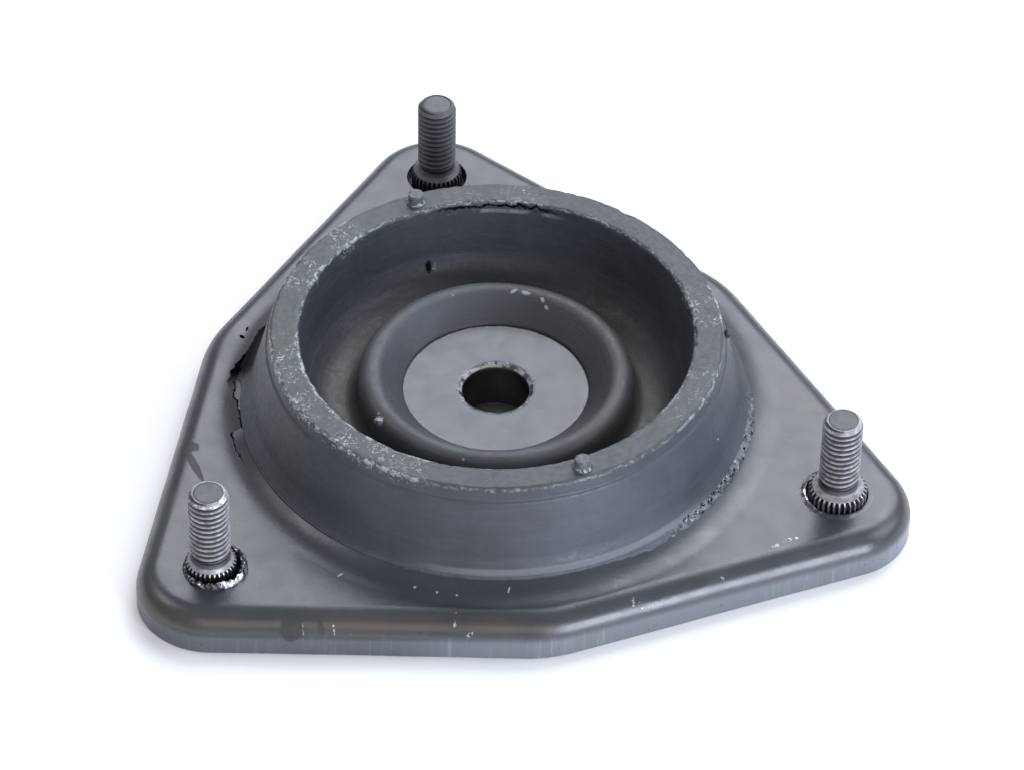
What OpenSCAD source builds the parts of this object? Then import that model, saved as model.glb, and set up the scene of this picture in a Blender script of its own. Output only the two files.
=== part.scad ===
// Strut mount: a pressed steel plate with three press-in studs, a moulded rubber
// tower bonded over the plate's drawn neck, and a steel core that takes the rod.
// Lengths are in millimetres and angles in degrees.
// Origin: on the bore's axis, in the plate's top face. +Z runs up along the studs.
// Each ring's radius is the ring's inside it plus a width, from the bore outwards.

/* [Core] */
// Diameter of the bore for the rod
bore_d = 13.5; // [12:0.1:14]
// Depth of the bore's chamfers, across and along
chamfer = 0.6; // [0.3:0.05:1]
// Wall of the hub round the bore
hub_wall = 6.25; // [5:0.25:7]
// Diameter of the bare disc that shows inside the hump
disc_d = 37.2; // [35:0.2:39]
// Height of the disc's face above the top face
disc_h = 4.8; // [4:0.1:5.5]
// Thickness of the core's flange
flange_t = 3; // [2.5:0.1:4]
// How far the flange runs past the hump's crest, inside the rubber
flange_reach = 2.3; // [1:0.1:2.5]
// Gap between the hub's lower face and the plane of the skirt's edge
hub_gap = 3; // [2:0.5:4]

/* [Rubber floor] */
// Width from the bare disc's edge to the hump's crest
hump_reach = 6.1; // [5:0.1:7]
// Height of the hump's crest above the top face
hump_h = 10; // [9:0.1:11]
// Radius of the hump's rounded crest
hump_bend_r = 2.8; // [2.2:0.1:3]
// Width from the hump's crest to the trough's lowest line
flank_w = 5.5; // [5:0.1:7]
// Radius of the bend from the hump into the trough
hump_foot_bend_r = 2.6; // [2:0.1:2.8]
// Height of the trough's lowest line above the top face
trough_h = 1.7; // [1:0.1:2.5]
// Radius of the bend from the trough into the wall inside the tower
trough_bend_r = 8; // [7:0.5:9]
// How far that wall leans outwards on its way up to the rim
wall_batter = 0.8; // [0.4:0.1:1.2]
// Thickness of the rubber web below the trough
web_t = 4; // [3:0.5:4.5]

/* [Rubber tower] */
// Width of the flat rim
rim_w = 6; // [5:0.1:7]
// Height of the tower's rim above the top face
rim_h = 20.2; // [19:0.1:23]
// Height of the plain band below the rim
band_h = 3; // [2:0.5:4]
// Lean of the tower's side and of the neck from upright
lean = 15; // [14:0.5:17]
// Width that the flare adds at the tower's foot
flare_w = 2.1; // [1.5:0.1:2.6]
// Height above the top face at which the flare turns into the upright foot
foot_h = 2.4; // [2.2:0.1:3]
// Diameter of the gate nubs left on the rim
nub_d = 3.2; // [2:0.1:4]
// Height of the gate nubs
nub_h = 2.4; // [1:0.1:3]

/* [Neck] */
// Width from the rim's outer edge to the line where the neck leaves the flat top
tower_spread = 12; // [11:0.5:12.5]
// Radius of the hollow bend at the neck's foot
neck_bend_r = 12; // [11:0.5:13]
// Depth of rubber over the neck's upper edge
rim_cover = 4.8; // [4:0.1:6]

/* [Studs] */
// Width from the neck's foot to the stud's axis
stud_room = 14.5; // [13:0.5:18]
// Diameter of the stud's thread
stud_d = 8; // [6:1:8]
// Height of the stud above the top face
stud_h = 19.7; // [15:0.1:30]
// Bevel at the stud's tip
tip_bevel = 0.85; // [0.5:0.05:1.2]
// Width of the serrated collar round the thread
collar_w = 2.05; // [1.6:0.05:2.4]
// Height of the collar above the top face
collar_h = 2.2; // [1:0.1:3]
// Depth of one serration
tooth_depth = 0.55; // [0.3:0.05:0.7]
// Number of serrations round the collar
tooth_count = 36; // [24:1:40]
// Width of the stud's head past the collar, below the plate
head_reach = 2.45; // [1.5:0.05:3]
// Thickness of the stud's head
head_t = 2.4; // [1.8:0.1:3]

/* [Plate] */
// Thickness of the steel sheet
sheet_t = 2.5; // [2:0.1:3]
// Height of the plate, from the skirt's lower edge to the top face
plate_h = 9; // [8:0.5:13]
// Outer radius of the fold from the top face down to the skirt
fold_r = 5; // [4:0.5:5]
// Gap between a stud's head and the inside of the skirt round it
corner_room = 3.7; // [2.5:0.1:6]
// Width of the flat left between the neck's foot and the fold in the middle of a side
side_flat = 0.2; // [0.2:0.1:2]
// Radius of the blunt vertex in the middle of each side
side_r = 27; // [18:1:32]

/* [Hidden] */
$fn = 96;

steel_grey = [0.51, 0.53, 0.56];
stud_grey = [0.40, 0.40, 0.41];
core_grey = [0.54, 0.55, 0.59];
rubber_black = [0.24, 0.25, 0.28];

stud_count = 3;
stud_step = 360 / stud_count;
turns = [for (i = [0:stud_count - 1]) i * stud_step];
// Bevel of the head's lower edge
head_bevel = 0.5;
// A radial play round the collar keeps the teeth clear of the hole's wall
collar_play = 0.05;
// How far a cutting shape runs past what it cuts
overrun = 1;
// Number of straight steps that draw one bend
bend_steps = 8;
// Number of straight steps round a disc of the plate's outline
hull_fn = 60;
// Share of a bend's step by which a face of the neck runs on past the flat sheet's face
foot_sink_share = 1 / 32;

// Radii and diameters, each built on the one inside it
hub_d = bore_d + 2 * hub_wall;
hump_crest_r = disc_d / 2 + hump_reach;
flange_d = 2 * (hump_crest_r + flange_reach);
trough_r = hump_crest_r + flank_w;
rim_inner_r = trough_r + trough_bend_r + wall_batter;
rim_outer_r = rim_inner_r + rim_w;
neck_foot_r = rim_outer_r + tower_spread;
stud_circle_r = neck_foot_r + stud_room;
side_reach = neck_foot_r + side_flat + fold_r;
tip_d = stud_d - 2 * tip_bevel;
collar_d = stud_d + 2 * collar_w;
head_d = collar_d + 2 * head_reach;
corner_r = head_d / 2 + corner_room + sheet_t;

neck_h = rim_h - rim_cover;
neck_centre = [neck_foot_r, neck_bend_r];
neck_lean_angle = 180 + lean;

// The tower's side: plain band, step, leaning side, flare and upright foot
step_w = 0.3;
step_h = 0.2;
edge_bend_r = 0.8;
side_top = [rim_outer_r + step_w + band_h * tan(lean / 2), rim_h - band_h - step_h];
flare_turn = 33;
flare_bend_r = flare_w / (cos(lean) - cos(lean + flare_turn));
flare_h = foot_h + flare_bend_r * (sin(lean + flare_turn) - sin(lean));
side_low = side_top + [(side_top.y - flare_h) * tan(lean), flare_h - side_top.y];
flare_centre = side_low + polar(flare_bend_r, lean);
foot_top = [side_low.x + flare_w, foot_h];

// The wall inside the tower and the trough at its foot
trough_centre = [trough_r, trough_h + trough_bend_r];
wall_run = [rim_inner_r, rim_h] - trough_centre;
wall_draft = acos(trough_bend_r / norm(wall_run)) - atan2(wall_run.y, wall_run.x);
nub_circle_r = (rim_inner_r + rim_outer_r) / 2;
nub_angles = [103, 283];
nub_base_d = nub_d + 2 * step_w;
nub_base_h = nub_h / 4;

// The hump and the flank that joins it to the trough
hump_centre = [hump_crest_r, hump_h - hump_bend_r];
hump_foot_centre = [trough_r, trough_h + hump_foot_bend_r];
flank_run = hump_foot_centre - hump_centre;
flank_normal = atan2(flank_run.y, flank_run.x)
    + acos((hump_bend_r + hump_foot_bend_r) / norm(flank_run));
disc_lip = [disc_d / 2, disc_h + step_w];
lip_run = hump_centre - disc_lip;
lip_normal = atan2(lip_run.y, lip_run.x) + asin(hump_bend_r / norm(lip_run)) + 90;

// The underside of the rubber: a flat web round the hub, then a cone out to the neck's
// sheet, which the moulding's section enters at two turns of its bend
web_low = trough_h - web_t;
web_edge = [trough_r + hump_foot_bend_r, web_low];
sheet_middle_r = neck_bend_r + sheet_t / 2;
web_turn = 50;
foot_turn = asin((neck_foot_r - foot_top.x) / sheet_middle_r);
hub_low = hub_gap - plate_h;

function polar(r, angle) = [r * cos(angle), r * sin(angle)];

function bend(centre, r, from, to) =
    [for (i = [0:bend_steps]) centre + polar(r, from + (to - from) * i / bend_steps)];

// A disc of the plate's outline, folded down at its rim; inset draws its inside
module folded_disc(r, inset, low) {
    bend_r = fold_r - inset;
    rotate_extrude($fn = hull_fn)
        polygon(concat(
            [[0, low], [r - inset, low]],
            bend([r - fold_r, -fold_r], bend_r, 0, 90),
            [[0, -inset]]
        ));
}

// Three corners round the studs and three blunt side vertices, drawn tight together
module plate_form(inset, low) {
    hull()
        for (turn = turns) {
            rotate(turn)
                translate([0, stud_circle_r, 0])
                    folded_disc(corner_r, inset, low);
            rotate(turn)
                translate([0, side_r - side_reach, 0])
                    folded_disc(side_r, inset, low);
        }
}

// One face of the drawn neck, up its hollow bend and its leaning wall. It starts a little
// past the bend's foot, so that it crosses the flat sheet's face, and ends at height top.
function neck_face(bend_r, top) =
    let (
        curve = bend(neck_centre, bend_r, 270, neck_lean_angle),
        wall_foot = curve[bend_steps],
        wall_run = (top - wall_foot.y) / cos(lean)
    )
    concat(
        [curve[0] + (curve[0] - curve[1]) * foot_sink_share],
        [for (i = [1:bend_steps]) curve[i]],
        [wall_foot + polar(wall_run, 90 + lean)]
    );

// Everything inside one face of the neck; the sheet is the outer form less the inner one
module neck_form(inset, low, top) {
    face = neck_face(neck_bend_r + inset, top);
    peak = face[bend_steps + 1];
    rotate_extrude()
        polygon(concat(
            [[0, low], [face[0].x, low]],
            face,
            [[0, inset > 0 ? peak.y : peak.y - peak.x * tan(lean)]]
        ));
}

// Section through the neck's sheet alone, which the rubber is moulded round
module neck_section() {
    outer = neck_face(neck_bend_r, neck_h);
    inner = neck_face(neck_bend_r + sheet_t, neck_h - sheet_t * sin(lean));
    polygon(concat(outer, [for (i = [bend_steps + 1:-1:0]) inner[i]]));
}

module mounting_plate() {
    color(steel_grey)
        difference() {
            union() {
                plate_form(0, -plate_h);
                neck_form(0, -sheet_t / 2, neck_h);
            }
            plate_form(sheet_t, -plate_h - overrun);
            neck_form(sheet_t, -plate_h - overrun, neck_h + overrun);
            for (turn = turns)
                rotate(turn)
                    translate([0, stud_circle_r, -sheet_t - overrun])
                        cylinder(h = sheet_t + 2 * overrun, d = collar_d + 2 * collar_play);
        }
}

// Serrations that bite into the plate's hole: rooted in the head, bevelled at the top
module collar() {
    outer_r = collar_d / 2;
    root_r = outer_r - tooth_depth;
    tooth_step = 360 / tooth_count;
    low = -sheet_t - head_t / 2;
    bevel_in_r = root_r - tooth_depth / 2;
    bevel_out_r = outer_r + tooth_depth;
    intersection() {
        translate([0, 0, low])
            linear_extrude(collar_h - low)
                polygon([for (i = [0:tooth_count - 1])
                    each [polar(outer_r, i * tooth_step), polar(root_r, (i + 1 / 2) * tooth_step)]]);
        rotate_extrude()
            polygon([
                [0, low - overrun],
                [bevel_out_r, low - overrun],
                [bevel_out_r, collar_h - bevel_out_r + bevel_in_r],
                [bevel_in_r, collar_h],
                [0, collar_h]
            ]);
    }
}

// One stud: head below the plate, serrated collar in its hole, threaded shank above
module stud(turn) {
    shank_r = stud_d / 2;
    tip_r = tip_d / 2;
    rotate(turn)
        translate([0, stud_circle_r, 0]) {
            collar();
            rotate_extrude()
                polygon([
                    [0, -sheet_t - head_t],
                    [head_d / 2 - head_bevel, -sheet_t - head_t],
                    [head_d / 2, -sheet_t - head_t + head_bevel],
                    [head_d / 2, -sheet_t],
                    [shank_r, -sheet_t],
                    [shank_r, stud_h - shank_r + tip_r],
                    [tip_r, stud_h],
                    [0, stud_h]
                ]);
        }
}

module stud_rear() {
    color(stud_grey) stud(0);
}

module stud_left() {
    color(stud_grey) stud(stud_step);
}

module stud_right() {
    color(stud_grey) stud(-stud_step);
}

// Section through the steel core: flange in the rubber, hub below, chamfered bore
module core_section() {
    bore_r = bore_d / 2;
    hub_r = hub_d / 2;
    polygon([
        [bore_r + chamfer, disc_h],
        [flange_d / 2, disc_h],
        [flange_d / 2, disc_h - flange_t],
        [hub_r, disc_h - flange_t],
        [hub_r, hub_low + chamfer],
        [hub_r - chamfer, hub_low],
        [bore_r + chamfer, hub_low],
        [bore_r, hub_low + chamfer],
        [bore_r, disc_h - chamfer]
    ]);
}

module core() {
    color(core_grey)
        rotate_extrude()
            core_section();
}

// Section through the moulding as if the steel were rubber too: down the outside,
// back along the underside, up to the bare disc and over the hump to the rim
module moulding_section() {
    flange_middle = disc_h - flange_t / 2;
    inside_hub = (bore_d + hub_d) / 4;
    rim_outer_bend = [rim_outer_r - edge_bend_r, rim_h - edge_bend_r];
    rim_inner_bend = [rim_inner_r + edge_bend_r, rim_h - edge_bend_r];
    polygon(concat(
        bend(rim_outer_bend, edge_bend_r, 90, 0),
        [side_top - [step_w, -step_h], side_top],
        bend(flare_centre, flare_bend_r, 180 + lean, 180 + lean + flare_turn),
        bend(neck_centre, sheet_middle_r, 270 - foot_turn, 270 - web_turn),
        [web_edge, [inside_hub, web_low]],
        [[inside_hub, flange_middle], [disc_lip.x, flange_middle], disc_lip],
        bend(hump_centre, hump_bend_r, lip_normal, flank_normal),
        bend(hump_foot_centre, hump_foot_bend_r, 180 + flank_normal, 270),
        bend(trough_centre, trough_bend_r, 270, 360 - wall_draft),
        bend(rim_inner_bend, edge_bend_r, 180, 90)
    ));
}

// A gate nub, rooted in the rim: the stub that the moulding's runner leaves there
module gate_nub() {
    translate([0, 0, -nub_base_h])
        cylinder(h = 2 * nub_base_h, d = nub_base_d);
    cylinder(h = nub_h, d = nub_d);
}

module rubber_bushing() {
    color(rubber_black) {
        rotate_extrude()
            difference() {
                moulding_section();
                neck_section();
                core_section();
            }
        for (angle = nub_angles)
            rotate(angle)
                translate([nub_circle_r, 0, rim_h])
                    gate_nub();
    }
}

mounting_plate();
stud_rear();
stud_left();
stud_right();
rubber_bushing();
core();
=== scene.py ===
import math

import bmesh
import bpy
import numpy as np
from mathutils import Matrix, Vector, noise


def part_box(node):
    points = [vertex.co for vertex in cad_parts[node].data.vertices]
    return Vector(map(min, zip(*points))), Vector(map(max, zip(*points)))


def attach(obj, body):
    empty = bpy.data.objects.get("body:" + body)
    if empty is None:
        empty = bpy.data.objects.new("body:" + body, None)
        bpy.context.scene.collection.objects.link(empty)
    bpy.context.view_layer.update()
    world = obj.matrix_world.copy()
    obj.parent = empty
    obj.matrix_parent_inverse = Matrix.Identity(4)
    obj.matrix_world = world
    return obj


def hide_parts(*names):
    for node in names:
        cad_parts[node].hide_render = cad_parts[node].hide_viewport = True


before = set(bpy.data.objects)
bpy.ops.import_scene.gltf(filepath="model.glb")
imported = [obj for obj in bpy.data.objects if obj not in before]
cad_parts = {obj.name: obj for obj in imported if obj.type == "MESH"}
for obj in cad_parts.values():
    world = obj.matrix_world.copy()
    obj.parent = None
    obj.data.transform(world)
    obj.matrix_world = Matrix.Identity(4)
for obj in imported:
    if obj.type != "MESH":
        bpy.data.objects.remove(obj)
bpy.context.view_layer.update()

MM = 0.001

# Sizes in millimetres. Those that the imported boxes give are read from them.
plate_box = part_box("mounting_plate")
stud_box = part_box("stud_rear")
tower_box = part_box("rubber_bushing")
core_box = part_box("core")
sheet_t = 2.5
plate_low = plate_box[0].z / MM
stud_circle_r = (stud_box[0].y + stud_box[1].y) / 2 / MM
stud_h = stud_box[1].z / MM
head_r = (stud_box[1].x - stud_box[0].x) / 2 / MM
head_low = stud_box[0].z / MM
nub_h = 2.4
nub_r = 1.6
nub_turns = (103, 283)
rim_h = tower_box[1].z / MM - nub_h
web_low = tower_box[0].z / MM
disc_h = core_box[1].z / MM
hub_low = core_box[0].z / MM
flange_r = core_box[1].x / MM
disc_r = 18.6
bore_r = 6.75
hub_r = 13.0
flange_t = 3.0
crest_r = 24.7
crest_h = 10.0
crest_bend_r = 2.8
trough_r = 30.2
trough_h = 1.7
trough_bend_r = 8.0
flank_foot_r = 2.6
rim_in_r = 39.0
rim_out_r = 45.0
band_h = 3.0
lean = 15.0
flare_w = 2.1
flare_turn = 33.0
foot_h = 2.4
neck_foot_r = 57.0
neck_bend_r = 12.0
neck_h = 15.4
corner_r = 14.7
side_r = 27.0
side_reach = 62.2
fold_r = 5.0
hole_r = 6.12
stud_turns = {"stud_rear": 90, "stud_left": 210, "stud_right": 330}


# ---------------------------------------------------------------- shapes

def polar(r, turn):
    """A point at that radius and angle in degrees."""
    return np.array([r * math.cos(math.radians(turn)), r * math.sin(math.radians(turn))])


def bend(centre, r, start, end, steps):
    """Points along a bend of the section, both ends included."""
    return [np.asarray(centre) + polar(r, start + (end - start) * i / steps) for i in range(steps + 1)]


def fill_in(points, spacing):
    """The same section with extra points wherever two lie further apart than the spacing."""
    full = []
    for start, end in zip(points, points[1:]):
        steps = max(1, math.ceil(np.linalg.norm(np.subtract(end, start)) / spacing))
        full += [np.asarray(start) + np.subtract(end, start) * i / steps for i in range(steps)]
    return full + [np.asarray(points[-1])]


def smooth_step(low, high, value):
    """0 below low, 1 above high, and an even rise between them."""
    share = np.clip((value - low) / (high - low), 0, 1)
    return share * share * (3 - 2 * share)


def rough(points, grain, seed):
    """Smooth noise from -1 to 1 at each point, with lumps of about that many millimetres."""
    shift = Vector((seed * 17.3, seed * 5.1, seed * 9.7))
    flat = points.reshape(-1, 3)
    found = [noise.noise(Vector(p) / grain + shift) for p in flat.tolist()]
    return np.array(found).reshape(points.shape[:-1])


def spin(section, columns):
    """A section's points (radius, height) turned round the axis: rows by columns by 3."""
    turn = np.arange(columns) * 2 * math.pi / columns
    section = np.asarray(section)
    r = section[:, 0, None]
    z = np.repeat(section[:, 1, None], columns, axis=1)
    return np.stack([r * np.cos(turn), r * np.sin(turn), z], axis=-1)


def spread(points):
    """Radius and angle in degrees of each point round the bore's axis."""
    r = np.hypot(points[..., 0], points[..., 1])
    turn = np.degrees(np.arctan2(points[..., 1], points[..., 0])) % 360
    return r, turn


def skin(name, rings, looped, marks=None):
    """A closed mesh over rows of points; a section that isn't looped is capped at both ends."""
    rows, columns = rings.shape[:2]
    index = np.arange(rows * columns).reshape(rows, columns)
    beside = np.roll(index, -1, axis=1)
    if looped:
        below, below_beside = np.roll(index, -1, axis=0), np.roll(beside, -1, axis=0)
    else:
        index, beside = index[:-1], beside[:-1]
        below = np.arange(columns, rows * columns).reshape(rows - 1, columns)
        below_beside = np.roll(below, -1, axis=1)
    faces = np.stack([index, beside, below_beside, below], axis=-1).reshape(-1, 4).tolist()
    points = rings.reshape(-1, 3)
    if not looped:
        top, bottom = len(points), len(points) + 1
        points = np.vstack([points, rings[0].mean(axis=0), rings[-1].mean(axis=0)])
        last = (rows - 1) * columns
        for i in range(columns):
            j = (i + 1) % columns
            faces.append([top, j, i])
            faces.append([bottom, last + i, last + j])
    mesh = bpy.data.meshes.new(name)
    mesh.from_pydata((points * MM).tolist(), [], faces)
    for mark, values in (marks or {}).items():
        if not looped:
            values = np.append(np.ravel(values), [values[0].mean(), values[-1].mean()])
        mesh.attributes.new(mark, "FLOAT", "POINT").data.foreach_set("value", np.ravel(values))
    shape = bmesh.new()
    shape.from_mesh(mesh)
    bmesh.ops.recalc_face_normals(shape, faces=shape.faces)
    shape.to_mesh(mesh)
    shape.free()
    piece = bpy.data.objects.new(name, mesh)
    bpy.context.scene.collection.objects.link(piece)
    return piece


def soften(piece, sharp_from=40):
    """Smooth shading, with edges sharper than the angle kept crisp."""
    mesh = piece.data
    mesh.polygons.foreach_set("use_smooth", [True] * len(mesh.polygons))
    mesh.set_sharp_from_angle(angle=math.radians(sharp_from))


def work_in(piece, other, operation):
    """Joins the other shape to the piece, or cuts it out, and drops the other."""
    step = piece.modifiers.new(operation, "BOOLEAN")
    step.operation = operation
    step.solver = "EXACT"
    step.object = other
    bpy.context.view_layer.update()
    made = bpy.data.meshes.new_from_object(piece.evaluated_get(bpy.context.evaluated_depsgraph_get()))
    piece.modifiers.clear()
    old = piece.data
    piece.data = made
    made.name = piece.name
    bpy.data.meshes.remove(old)
    bpy.data.objects.remove(other)


# ---------------------------------------------------------------- materials

def linear(code):
    """An sRGB hex colour as linear RGBA."""
    parts = [int(code[i:i + 2], 16) / 255 for i in (0, 2, 4)]
    return tuple(c / 12.92 if c <= 0.04045 else ((c + 0.055) / 1.055) ** 2.4 for c in parts) + (1.0,)


def add(tree, kind, settings=None, inputs=None):
    """Adds a node with its settings; an input is a value or another node's output."""
    made = tree.nodes.new(kind)
    for name, value in (settings or {}).items():
        setattr(made, name, value)
    for name, value in (inputs or {}).items():
        if isinstance(value, bpy.types.NodeSocket):
            tree.links.new(value, made.inputs[name])
        else:
            made.inputs[name].default_value = value
    return made


def ramp(tree, value, stops):
    """A colour or grey that changes along the value; stops are (place, hex colour)."""
    made = add(tree, "ShaderNodeValToRGB", inputs={"Fac": value})
    bar = made.color_ramp.elements
    while len(bar) < len(stops):
        bar.new(1.0)
    for stop, (place, code) in zip(bar, stops):
        stop.position = place
        stop.color = linear(code)
    return made.outputs["Color"]


def remap(tree, value, low, high, to_low=0.0, to_high=1.0):
    """The value's range low to high stretched smoothly to another range."""
    made = add(tree, "ShaderNodeMapRange", {"interpolation_type": "SMOOTHSTEP"}, {
        "Value": value, "From Min": low, "From Max": high, "To Min": to_low, "To Max": to_high})
    return made.outputs["Result"]


def sum_up(tree, operation, first, second):
    """One step of arithmetic between two values or outputs."""
    made = add(tree, "ShaderNodeMath", {"operation": operation}, {0: first, 1: second})
    return made.outputs["Value"]


def lay_over(tree, share, under, over, how="MIX"):
    """One colour laid over another by a share."""
    made = add(tree, "ShaderNodeMix", {"data_type": "RGBA", "blend_type": how})
    for name, value in (("Factor", share), ("A", under), ("B", over)):
        socket = [s for s in made.inputs if s.name == name and (s.type == "RGBA" or name == "Factor")][0]
        if isinstance(value, bpy.types.NodeSocket):
            tree.links.new(value, socket)
        else:
            socket.default_value = value
    return [s for s in made.outputs if s.type == "RGBA"][0]


def start_material(name):
    """A material with its tree, its shader and the place on the object in millimetres."""
    material = bpy.data.materials.new(name)
    material.use_nodes = True
    tree = material.node_tree
    shader = tree.nodes["Principled BSDF"]
    place = add(tree, "ShaderNodeTexCoord").outputs["Object"]
    place = add(tree, "ShaderNodeVectorMath", {"operation": "SCALE"}, {0: place, "Scale": 1 / MM}).outputs[0]
    return material, tree, shader, place


def lumps(tree, place, size, detail=3.0, roughness=0.5, stretch=(1, 1, 1), warp=0.0):
    """Noise with lumps of about that many millimetres."""
    if stretch != (1, 1, 1):
        place = add(tree, "ShaderNodeVectorMath", {"operation": "MULTIPLY"}, {0: place, 1: stretch}).outputs[0]
    made = add(tree, "ShaderNodeTexNoise", inputs={
        "Vector": place, "Scale": 1 / size, "Detail": detail, "Roughness": roughness, "Distortion": warp})
    return made.outputs["Fac"]


def split(tree, place):
    """Radius, angle in degrees and height of a place round the bore's axis."""
    parts = add(tree, "ShaderNodeSeparateXYZ", inputs={"Vector": place})
    flat = add(tree, "ShaderNodeCombineXYZ", inputs={"X": parts.outputs["X"], "Y": parts.outputs["Y"]})
    r = add(tree, "ShaderNodeVectorMath", {"operation": "LENGTH"}, {0: flat.outputs[0]}).outputs["Value"]
    turn = sum_up(tree, "ARCTAN2", parts.outputs["Y"], parts.outputs["X"])
    turn = sum_up(tree, "MULTIPLY", turn, 180 / math.pi)
    return r, turn, parts.outputs["Z"]


def sector(tree, place, centre, half):
    """1 within that many degrees of a bearing round the bore's axis, and 0 beyond twice that."""
    aim = tuple(polar(1, centre)) + (0,)
    flat = add(tree, "ShaderNodeVectorMath", {"operation": "MULTIPLY"}, {0: place, 1: (1, 1, 0)}).outputs[0]
    flat = add(tree, "ShaderNodeVectorMath", {"operation": "NORMALIZE"}, {0: flat}).outputs[0]
    along = add(tree, "ShaderNodeVectorMath", {"operation": "DOT_PRODUCT"}, {0: flat, 1: aim}).outputs["Value"]
    wide, tight = math.cos(math.radians(min(2 * half, 175))), math.cos(math.radians(half))
    return remap(tree, along, wide, tight)


def smudge(tree, place, spot, size, turn=0.0, ragged=0.35, soft=0.25):
    """1 inside a ragged ellipse of that size at that spot (mm), laid at that angle, and 0 outside."""
    stray = lumps(tree, place, size[1] * 0.8, 3.0, 0.6)
    turned = add(tree, "ShaderNodeMapping", {"vector_type": "TEXTURE"}, {
        "Vector": place, "Location": spot, "Rotation": (0, 0, math.radians(turn)), "Scale": (*size, max(size))})
    away = add(tree, "ShaderNodeVectorMath", {"operation": "LENGTH"}, {0: turned.outputs[0]}).outputs["Value"]
    away = sum_up(tree, "ADD", away, sum_up(tree, "MULTIPLY", stray, ragged * 2))
    return remap(tree, away, 1.0 + ragged * (1.0 + soft), 1.0 + ragged * (1.0 - soft))


def from_stud(tree, place, turn):
    """Distance in millimetres from the axis of the stud at that bearing."""
    aside = add(tree, "ShaderNodeVectorMath", {"operation": "SUBTRACT"}, {
        0: place, 1: tuple(polar(stud_circle_r, turn)) + (0,)}).outputs[0]
    return split(tree, aside)[0]


def most(tree, masks):
    """The strongest of several masks."""
    strongest = masks[0]
    for mask in masks[1:]:
        strongest = sum_up(tree, "MAXIMUM", strongest, mask)
    return strongest


def times(tree, *masks):
    """Masks multiplied together."""
    product = masks[0]
    for mask in masks[1:]:
        product = sum_up(tree, "MULTIPLY", product, mask)
    return product


# Chips and scratches on the plate's fold: place, half width and half length, and lean
chip_places = (
    ((46.9, -48.0, -0.1), (0.9, 0.35), 20), ((49.4, -46.9, -0.1), (1.1, 0.4), 25), ((51.2, -46.6, -0.1), (0.45, 0.35), 0),
    ((45.2, -49.6, -0.2), (0.3, 0.5), 0), ((35.0, -54.2, -0.8), (0.35, 0.6), 10), ((16.8, -57.4, -1.2), (0.25, 1.0), -10),
    ((18.2, -58.0, -1.8), (0.3, 0.8), 20), ((-18.0, -57.4, -1.4), (0.3, 0.9), 10), ((-15.6, -59.4, -2.6), (0.9, 0.3), 15),
    ((-40.8, -54.6, -2.4), (0.16, 1.3), 0), ((-46.6, -53.4, -2.4), (0.16, 1.4), -5), ((-37.6, -55.6, -2.6), (0.14, 0.9), 8))


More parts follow.
